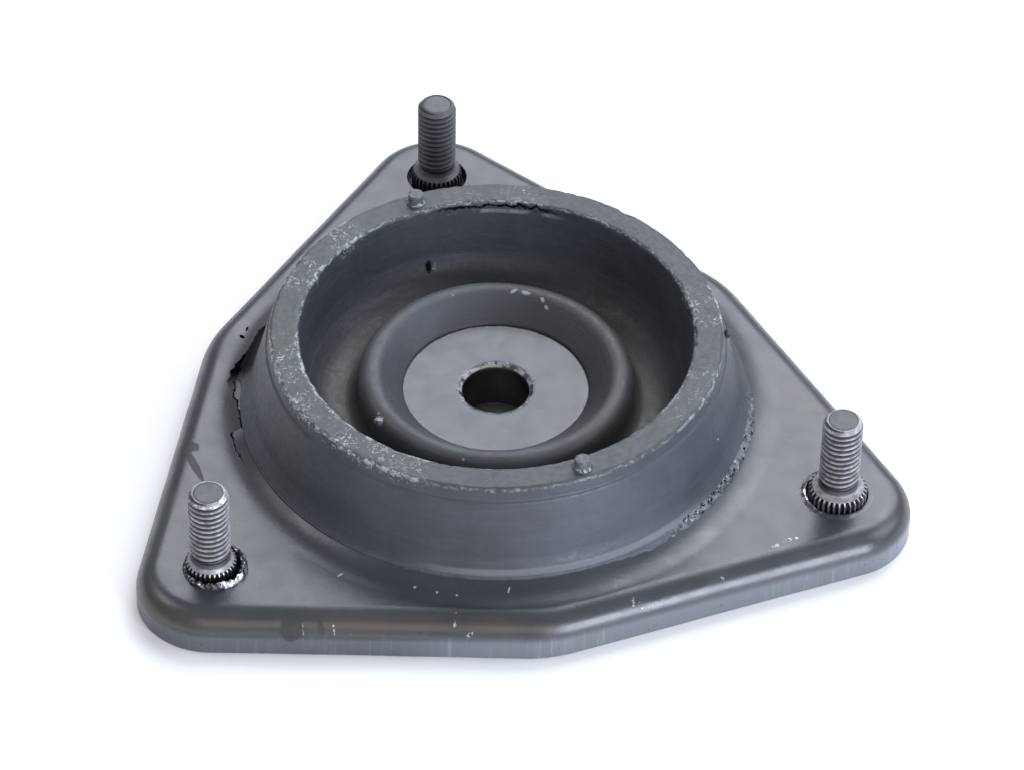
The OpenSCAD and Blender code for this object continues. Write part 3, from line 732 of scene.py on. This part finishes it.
def rubber_section():
    """The moulding's section from the foot up the outside, over the rim and the hump, back below."""
    neck_centre = np.array([neck_foot_r, neck_bend_r])
    side_top = np.array([rim_out_r + 0.3 + band_h * math.tan(math.radians(lean / 2)), rim_h - band_h - 0.2])
    flare_bend_r = flare_w / (math.cos(math.radians(lean)) - math.cos(math.radians(lean + flare_turn)))
    flare_h = foot_h + flare_bend_r * (math.sin(math.radians(lean + flare_turn)) - math.sin(math.radians(lean)))
    drop = side_top[1] - flare_h
    side_low = side_top + np.array([drop * math.tan(math.radians(lean)), -drop])
    flare_centre = side_low + polar(flare_bend_r, lean)
    foot_top = flare_centre + polar(flare_bend_r, 180 + lean + flare_turn)
    foot_z = neck_face_z(foot_top[0])
    round_r = 0.8
    trough = np.array([trough_r, trough_h + trough_bend_r])
    run = np.array([rim_in_r, rim_h]) - trough
    draft = math.degrees(math.acos(trough_bend_r / np.linalg.norm(run)) - math.atan2(run[1], run[0]))
    hump = np.array([crest_r, crest_h - crest_bend_r])
    foot = np.array([trough_r, trough_h + flank_foot_r])
    flank = foot - hump
    flank_turn = math.degrees(math.atan2(flank[1], flank[0])
                              + math.acos((crest_bend_r + flank_foot_r) / np.linalg.norm(flank)))
    lip = np.array([disc_r, disc_h + 0.3])
    lip_run = hump - lip
    lip_turn = 90 + math.degrees(math.atan2(lip_run[1], lip_run[0])
                                 + math.asin(crest_bend_r / np.linalg.norm(lip_run)))
    wall_foot = neck_centre + polar(neck_bend_r, 180 + lean)
    wall_top = wall_foot + polar((neck_h - wall_foot[1]) / math.cos(math.radians(lean)), 90 + lean)
    inner_top = wall_top - polar(sheet_t, lean)
    under_turn = 180 + 40
    outside = [np.array([foot_top[0], foot_z + rise]) for rise, share in flash_rows] + [foot_top]
    outside += bend(flare_centre, flare_bend_r, 180 + lean + flare_turn, 180 + lean, 12)
    outside += fill_in([side_low, side_top], 0.7)
    outside += fill_in([side_top, side_top - [0.3, -0.2], [rim_out_r, rim_h - round_r]], 0.3)
    outside += bend([rim_out_r - round_r, rim_h - round_r], round_r, 0, 90, 7)
    rim = fill_in([[rim_out_r - round_r, rim_h], [rim_in_r + round_r, rim_h]], 0.35)
    inside = bend([rim_in_r + round_r, rim_h - round_r], round_r, 90, 180, 7)
    wall_end = trough + polar(trough_bend_r, -draft)
    inside += fill_in([[rim_in_r, rim_h - round_r], [rim_in_r - 0.2, rim_h - 3.2]], 0.25)
    inside += fill_in([[rim_in_r - 0.2, rim_h - 3.2], wall_end], 0.8)
    inside += bend(trough, trough_bend_r, 360 - draft, 270, 18)
    inside += bend(foot, flank_foot_r, 270, 180 + flank_turn, 9)
    inside += bend(hump, crest_bend_r, flank_turn, lip_turn, 14)
    inside += fill_in([hump + polar(crest_bend_r, lip_turn), lip, [disc_r, disc_h]], 0.5)[1:]
    below = [[disc_r, disc_h], [flange_r, disc_h], [flange_r, disc_h - flange_t], [hub_r, disc_h - flange_t],
             [hub_r, web_low], [trough_r + flank_foot_r, web_low]]
    below += [neck_centre + polar(neck_bend_r + sheet_t, under_turn)]
    below = fill_in(below, 2.5)
    back = bend(neck_centre, neck_bend_r + sheet_t, under_turn, 180 + lean, 4)
    back += [inner_top, wall_top]
    back += bend(neck_centre, neck_bend_r, 180 + lean, 233, 6)
    section = outside + rim + inside + below + back
    kept = [np.asarray(section[0], float)]
    for point in section[1:]:
        if np.linalg.norm(np.subtract(point, kept[-1])) > 0.02:
            kept.append(np.asarray(point, float))
    return np.array(kept)


# Rows of the thin flash at the rubber's foot: height above the neck, and share of its reach
flash_rows = ((-0.06, 1.0), (0.2, 1.0), (0.34, 0.86), (0.42, 0.66), (0.48, 0.42), (0.53, 0.2), (0.58, 0.05))


def neck_face_z(r):
    """Height of the neck's upper face at a radius in its hollow bend."""
    return neck_bend_r - np.sqrt(neck_bend_r ** 2 - (neck_foot_r - r) ** 2)


def window(turn, start, end, fade):
    """1 between two angles in degrees, falling to 0 over the fade outside them."""
    middle, half = (start + end) / 2, (end - start) / 2
    away = np.abs((turn - middle + 180) % 360 - 180) - half
    return 1 - smooth_step(0, fade, away)


def mould_tower():
    """The rubber, with the small unevenness of the mould and its torn flash."""
    section = rubber_section()
    rings = spin(section, 480)
    r, turn = spread(rings)
    # Flash squeezed out under the mould's edge: a ragged skin on the right, short elsewhere
    # and torn loose, lifted off the steel, on the left
    ragged = 0.5 + 0.5 * rough(rings[:1], 1.6, 21)[0] + 0.35 * rough(rings[:1], 0.7, 22)[0]
    around = turn[0]
    right = window(around, 296, 349, 12)
    left = window(around, 148, 163, 5)
    reach = 0.12 + 0.12 * ragged + right * (0.25 + 0.75 * ragged) + left * (0.4 + 0.8 * ragged)
    for k, (rise, share) in enumerate(flash_rows):
        out = section[0][0] + reach * share
        lift = left * share * 0.5 + 0.12 * right * ragged * share
        bearing = np.radians(around)
        height = neck_face_z(out) + rise + (lift if k else 0)
        rings[k] = np.column_stack([out * np.cos(bearing), out * np.sin(bearing), height])
    r, turn = spread(rings)
    z = rings[..., 2]
    shown = (z > 2.2) | (r < 38)
    skin_wave = 0.12 * rough(rings, 16, 11) + 0.05 * rough(rings, 5, 12)
    inward = np.where(shown, np.minimum(skin_wave - 0.1, 0), 0)
    # Ragged upper edges, nicked by up to 0.5 mm
    near_rim = smooth_step(rim_h - 1.6, rim_h - 0.4, z)
    edge_band = near_rim * (np.exp(-((r - rim_in_r - 0.2) / 0.5) ** 2) + np.exp(-((r - rim_out_r + 0.2) / 0.5) ** 2))
    nick = np.maximum(rough(rings, 1.8, 13), 0) ** 1.5
    rings[..., 2] += -0.5 * nick * edge_band - 0.08 * near_rim * (1 + rough(rings, 6, 14)) / 2
    side = np.where(r < rim_in_r + 1.5, 1.0, -1.0)
    move = inward + side * 0.35 * nick * edge_band
    rings[..., :2] *= (1 + move / np.maximum(r, 1))[..., None]
    return skin("moulded_tower", rings, looped=True)


def gate_nub(name, turn):
    """The stub of rubber left where the moulding's runner was cut off."""
    centre = polar((rim_in_r + rim_out_r) / 2, turn)
    section = [(0.4, nub_h), (nub_r - 0.35, nub_h - 0.02), (nub_r - 0.1, nub_h - 0.1), (nub_r, nub_h - 0.3),
               (nub_r, 0.7), (nub_r + 0.1, 0.35), (nub_r + 0.5, 0.05), (nub_r + 0.5, -1.0)]
    rings = spin([(r, rim_h + z) for r, z in fill_in(section, 0.25)], 48)
    rings[..., :2] *= 1 - 0.07 * (1 + rough(rings, 1.0, turn))[..., None] / 2
    rings[..., 2] -= 0.12 * (1 + rough(rings, 0.8, turn + 1)) * (rings[..., 2] > rim_h + 1)
    rings[..., :2] += centre
    return skin(name, rings, looped=False)


def stray_rubber(name, spot, size):
    """A torn tab or lump of rubber left standing at a spot."""
    section = [(0.25, 1.0), (0.7, 0.8), (1.0, 0.3), (1.0, -0.3), (0.7, -0.8), (0.25, -1.0)]
    rings = spin(section, 20) * size
    rings = rings * (1 + 0.35 * rough(rings, 0.8, size[2] * 7))[..., None] + spot
    return skin(name, rings, looped=False)


# ---------------------------------------------------------------- studs

def roll_stud(node, turn):
    """One stud in one skin: bevelled tip, rolled thread, neck, serrated collar and head."""
    dull = 0.45 if node == "stud_rear" else 1.0
    columns = 160
    pitch = 1.25
    thread_r = 4.0
    root_r = 3.28
    neck_r = 3.75
    collar_h = 2.2
    collar_r = {"stud_rear": 5.3, "stud_left": 5.0, "stud_right": 5.85}[node]
    gap_r = collar_r - {"stud_rear": 0.5, "stud_left": 0.45, "stud_right": 0.7}[node]
    thread_low = 3.9
    around = np.arange(columns) / columns
    rows = []
    crests = []

    def even_row(r, z, bright):
        rows.append(np.stack([r * np.cos(around * 2 * math.pi), r * np.sin(around * 2 * math.pi),
                              np.full(columns, z)], axis=-1))
        crests.append(np.full(columns, bright))

    # Tip face: a dark ring and a bright rim at its edge, painted shade and a painted highlight
    for r in (0.6, 1.4, 2.2, 2.7):
        even_row(r, stud_h - 0.12 + 0.02 * r, 0.5)
    even_row(2.86, stud_h - 0.14, 0.1)
    even_row(2.98, stud_h - 0.02, 0.9 * dull)
    even_row(3.15, stud_h - 0.06, 1.0 * dull)
    # Thread: low values in the roots give painted shade, high ones burnish on the crests and painted glints on the
    # bevel
    steps = 176
    for i in range(1, steps + 1):
        z = stud_h - 0.1 + (thread_low - stud_h + 0.1) * i / steps
        phase = (z / pitch - around) % 1.0
        away = np.abs(phase - 0.5) * 2
        height = np.clip((0.86 - away) / 0.62, 0, 1)
        height = height * height * (3 - 2 * height) * 0.4 + height * 0.6
        fade = smooth_step(thread_low, thread_low + 1.2, z)
        r = (root_r + (thread_r - root_r) * height) * fade + neck_r * (1 - fade)
        bevel = 3.15 + (stud_h - z) * 1.0
        r = np.minimum(r, bevel)
        rows.append(np.stack([r * np.cos(around * 2 * math.pi), r * np.sin(around * 2 * math.pi),
                              np.full(columns, z)], axis=-1))
        on_bevel = np.where(bevel <= r + 1e-6, 1.0 if node == "stud_left" else 0.8, 0.0)
        crests.append(np.maximum(0.04 + 0.8 * height * fade, on_bevel) * max(dull, 0.6))
    # The collar's top gets a high value: a painted sheen
    neck = [(neck_r, 3.6), (neck_r + 0.03, 3.3), (neck_r + 0.12, 3.0), (neck_r + 0.3, 2.75), (neck_r + 0.6, 2.5),
            (gap_r - 0.15, collar_h + 0.05), (gap_r, collar_h - 0.05)]
    for r, z in neck:
        even_row(r, z, (0.75 if r > 4 else 0.4) * max(dull, 0.7))
    tooth = np.where(np.arange(columns) % 5 < 2, 1.0, 0.0)
    uneven = 0.5 + 0.5 * rough(spin([(collar_r, 1.0)], columns), 1.6, turn + 9)[0]
    for z in np.linspace(collar_h - 0.12, -sheet_t, 16):
        bevel = gap_r + 0.08 + (collar_h - 0.12 - z) * 1.1
        outer = np.minimum(collar_r, bevel)
        inner = np.minimum(gap_r, bevel)
        r = outer * tooth + inner * (1 - tooth)
        rows.append(np.stack([r * np.cos(around * 2 * math.pi), r * np.sin(around * 2 * math.pi),
                              np.full(columns, z)], axis=-1))
        # Teeth below 1.5 mm get low values, painted shade in the hole: evenly on the left stud, unevenly on the others;
        # the gaps between teeth get 0, painted near-black
        shown = 1.0 if z > 1.5 else 0.1 + 0.85 * uneven * (node != "stud_left")
        crests.append(tooth * shown * dull)
    head = [(6.4, -sheet_t), (head_r - 0.4, -sheet_t), (head_r - 0.12, -sheet_t - 0.12), (head_r, -sheet_t - 0.4),
            (head_r, head_low + 0.55), (head_r - 0.15, head_low + 0.2), (head_r - 0.55, head_low), (5.5, head_low),
            (3.0, head_low), (1.0, head_low + 0.05)]
    for r, z in head:
        even_row(r, z, 0.5)
    rings = np.array(rows)
    nick = 0.035 * (rough(rings, 0.9, turn) - 1)
    rings[..., :2] *= 1 + (nick / 4)[..., None]
    rings[..., :2] += polar(stud_circle_r, turn)
    return skin("threaded_" + node, rings, looped=False, marks={"crest": np.array(crests)})


# ---------------------------------------------------------------- core

def turn_core():
    """The turned disc, flange and hub with the rod's bore."""
    mouth_r = bore_r + 0.6
    section = [(mouth_r + 0.12, disc_h), (disc_r - 1.2, disc_h), (flange_r, disc_h), (flange_r, disc_h - flange_t),
               (hub_r, disc_h - flange_t), (hub_r, hub_low + 0.6), (hub_r - 0.6, hub_low), (mouth_r, hub_low),
               (bore_r, hub_low + 0.6), (bore_r, disc_h - 0.62), (mouth_r, disc_h - 0.08)]
    rings = spin(fill_in(section, 0.8), 256)
    r, turn = spread(rings)
    nick = np.maximum(rough(rings, 1.1, 31), 0) * np.exp(-((r - mouth_r) / 0.35) ** 2)
    rings[..., 2] -= 0.25 * nick * (rings[..., 2] > disc_h - 1)
    return skin("turned_core", rings, looped=True)


# ---------------------------------------------------------------- the part

coat = electrocoated_sheet()
rubber = moulded_rubber()
stud_steel = phosphated_stud()
core_coat = electrocoated_core()

plate = press_plate()
left_lip = [(5.1, -0.6), (6.45, -0.6), (6.3, -0.05), (6.25, 0.35), (6.15, 0.8), (5.95, 1.2), (5.7, 1.4), (5.45, 1.35), (5.1, 1.1)]
right_lip = [(6.0, -0.6), (7.6, -0.6), (7.3, -0.05), (6.9, 0.2), (6.6, 0.34), (6.3, 0.36), (6.0, 0.3)]
work_in(plate, raised_lip("lip_left", 210, fill_in(left_lip, 0.25), 0.6, 345, 1.2, (0.75, -0.45)), "UNION")
work_in(plate, raised_lip("lip_right", 330, right_lip, 0.15, 175, 2.0), "UNION")
rolled = [(hole_r, -0.35), (hole_r + 0.1, -0.12), (hole_r + 0.3, 0.05), (hole_r + 0.7, 0.6)]
torn = [(5.4, -0.6), (5.35, 0.2), (5.4, 0.9), (5.55, 1.5), (5.75, 3.0)]
straight = [(hole_r, -0.6), (hole_r + 0.1, 0.2), (hole_r + 0.25, 0.9), (hole_r + 0.35, 1.5), (hole_r + 0.4, 2.5)]
work_in(plate, punched_hole("punch_rear", 90, rolled), "DIFFERENCE")
work_in(plate, punched_hole("punch_left", 210, torn, offset=(0.4, -0.2)), "DIFFERENCE")
work_in(plate, punched_hole("punch_right", 330, straight, offset=(-0.12, 0.05)), "DIFFERENCE")
soften(plate)
plate.data.materials.clear()
plate.data.materials.append(coat)
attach(plate, "root")
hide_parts("mounting_plate")

tower = mould_tower()
for turn in nub_turns:
    work_in(tower, gate_nub("nub", turn), "UNION")
work_in(tower, stray_rubber("tab", tuple(polar(45.9, 354)) + (17.0,), np.array([0.8, 0.7, 1.1])), "UNION")
work_in(tower, stray_rubber("lump", tuple(polar(26.9, 202)) + (8.6,), np.array([1.1, 0.8, 0.9])), "UNION")
soften(tower, 50)
tower.data.materials.clear()
tower.data.materials.append(rubber)
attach(tower, "root")
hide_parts("rubber_bushing")

for node, turn in stud_turns.items():
    stud = roll_stud(node, turn)
    soften(stud, 50)
    stud.data.materials.append(stud_steel)
    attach(stud, "root")
    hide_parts(node)

core = turn_core()
soften(core)
core.data.materials.append(core_coat)
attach(core, "root")
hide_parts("core")


# ---------------------------------------------------------------- floor, light and camera

def lay_board():
    """A wide flat board under the part, reaching 1.6 m each way."""
    reach = 1.6
    mesh = bpy.data.meshes.new("board")
    steps = 40
    points = []
    for i in range(steps + 1):
        for j in range(steps + 1):
            points.append((reach * (2 * i / steps - 1), reach * (2 * j / steps - 1), plate_low * MM))
    faces = []
    for i in range(steps):
        for j in range(steps):
            k = i * (steps + 1) + j
            faces.append((k, k + steps + 1, k + steps + 2, k + 1))
    mesh.from_pydata(points, [], faces)
    mesh.materials.append(white_board())
    board = bpy.data.objects.new("board", mesh)
    bpy.context.scene.collection.objects.link(board)


def soft_box(name, turn, rise, distance, width, height, radiance, tint="FFFFFF"):
    """A rectangular soft light at that bearing and elevation in degrees, facing the part."""
    lamp = bpy.data.lights.new(name, "AREA")
    lamp.shape = "RECTANGLE"
    lamp.size = width
    lamp.size_y = height
    lamp.energy = radiance * math.pi * width * height
    lamp.color = linear(tint)[:3]
    flat = polar(math.cos(math.radians(rise)), turn)
    place = Vector((flat[0], flat[1], math.sin(math.radians(rise)))) * distance
    box = bpy.data.objects.new(name, lamp)
    box.matrix_world = Matrix.Translation(place) @ (-place).to_track_quat("-Z", "Y").to_matrix().to_4x4()
    bpy.context.scene.collection.objects.link(box)


def set_camera():
    """The photograph's camera: a long lens in front, 43 degrees above the plate."""
    rise = math.radians(42.87)
    roll = math.radians(-1.205)
    bearing = math.radians(11.095)
    distance = 949.68
    aside = -6.911
    lifted = -4.182
    back = Vector((0, -math.cos(rise), math.sin(rise)))
    right = Vector((1, 0, 0))
    up = Vector((0, math.sin(rise), math.cos(rise)))
    across = right * math.cos(roll) - up * math.sin(roll)
    upward = right * math.sin(roll) + up * math.cos(roll)
    place = -aside * across - lifted * upward + distance * back
    axes = Matrix((across, upward, back)).transposed().to_4x4()
    lens = bpy.data.cameras.new("camera")
    lens.lens = 167.0
    lens.sensor_width = 36
    lens.shift_x = -0.01766
    lens.shift_y = -0.00063
    lens.clip_start = 0.05
    camera = bpy.data.objects.new("camera", lens)
    camera.matrix_world = Matrix.Rotation(-bearing, 4, "Z") @ Matrix.Translation(place * MM) @ axes
    bpy.context.scene.collection.objects.link(camera)
    bpy.context.scene.camera = camera


lay_board()
set_camera()
# The flats mirror the wide box behind the part, and the front fold's right half mirrors the
# low window on the right; overhead stays dark, so the hollow bend in front does too
soft_box("back_softbox", 66, 43, 1.5, 1.7, 0.9, 4.6, "F2F6FF")
soft_box("upper_right_box", 50, 58, 1.5, 0.6, 0.5, 5.0, "F2F6FF")
soft_box("low_window", 296, 9, 1.5, 0.5, 0.9, 18.0, "E6EEFF")
soft_box("side_window", 347, 36, 1.5, 0.8, 0.9, 4.5, "E6EEFF")
soft_box("left_fill", 158, 48, 1.5, 0.5, 0.5, 4.0, "F4F7FF")
soft_box("front_fill", 262, 28, 1.6, 1.2, 0.9, 1.5, "FFF4EA")

world = bpy.data.worlds.new("studio")
bpy.context.scene.world = world
world.use_nodes = True
world.node_tree.nodes["Background"].inputs["Color"].default_value = linear("F4F6FA")
world.node_tree.nodes["Background"].inputs["Strength"].default_value = 0.34

scene = bpy.context.scene
scene.view_settings.view_transform = "Standard"
scene.view_settings.look = "None"
scene.view_settings.exposure = 0.0
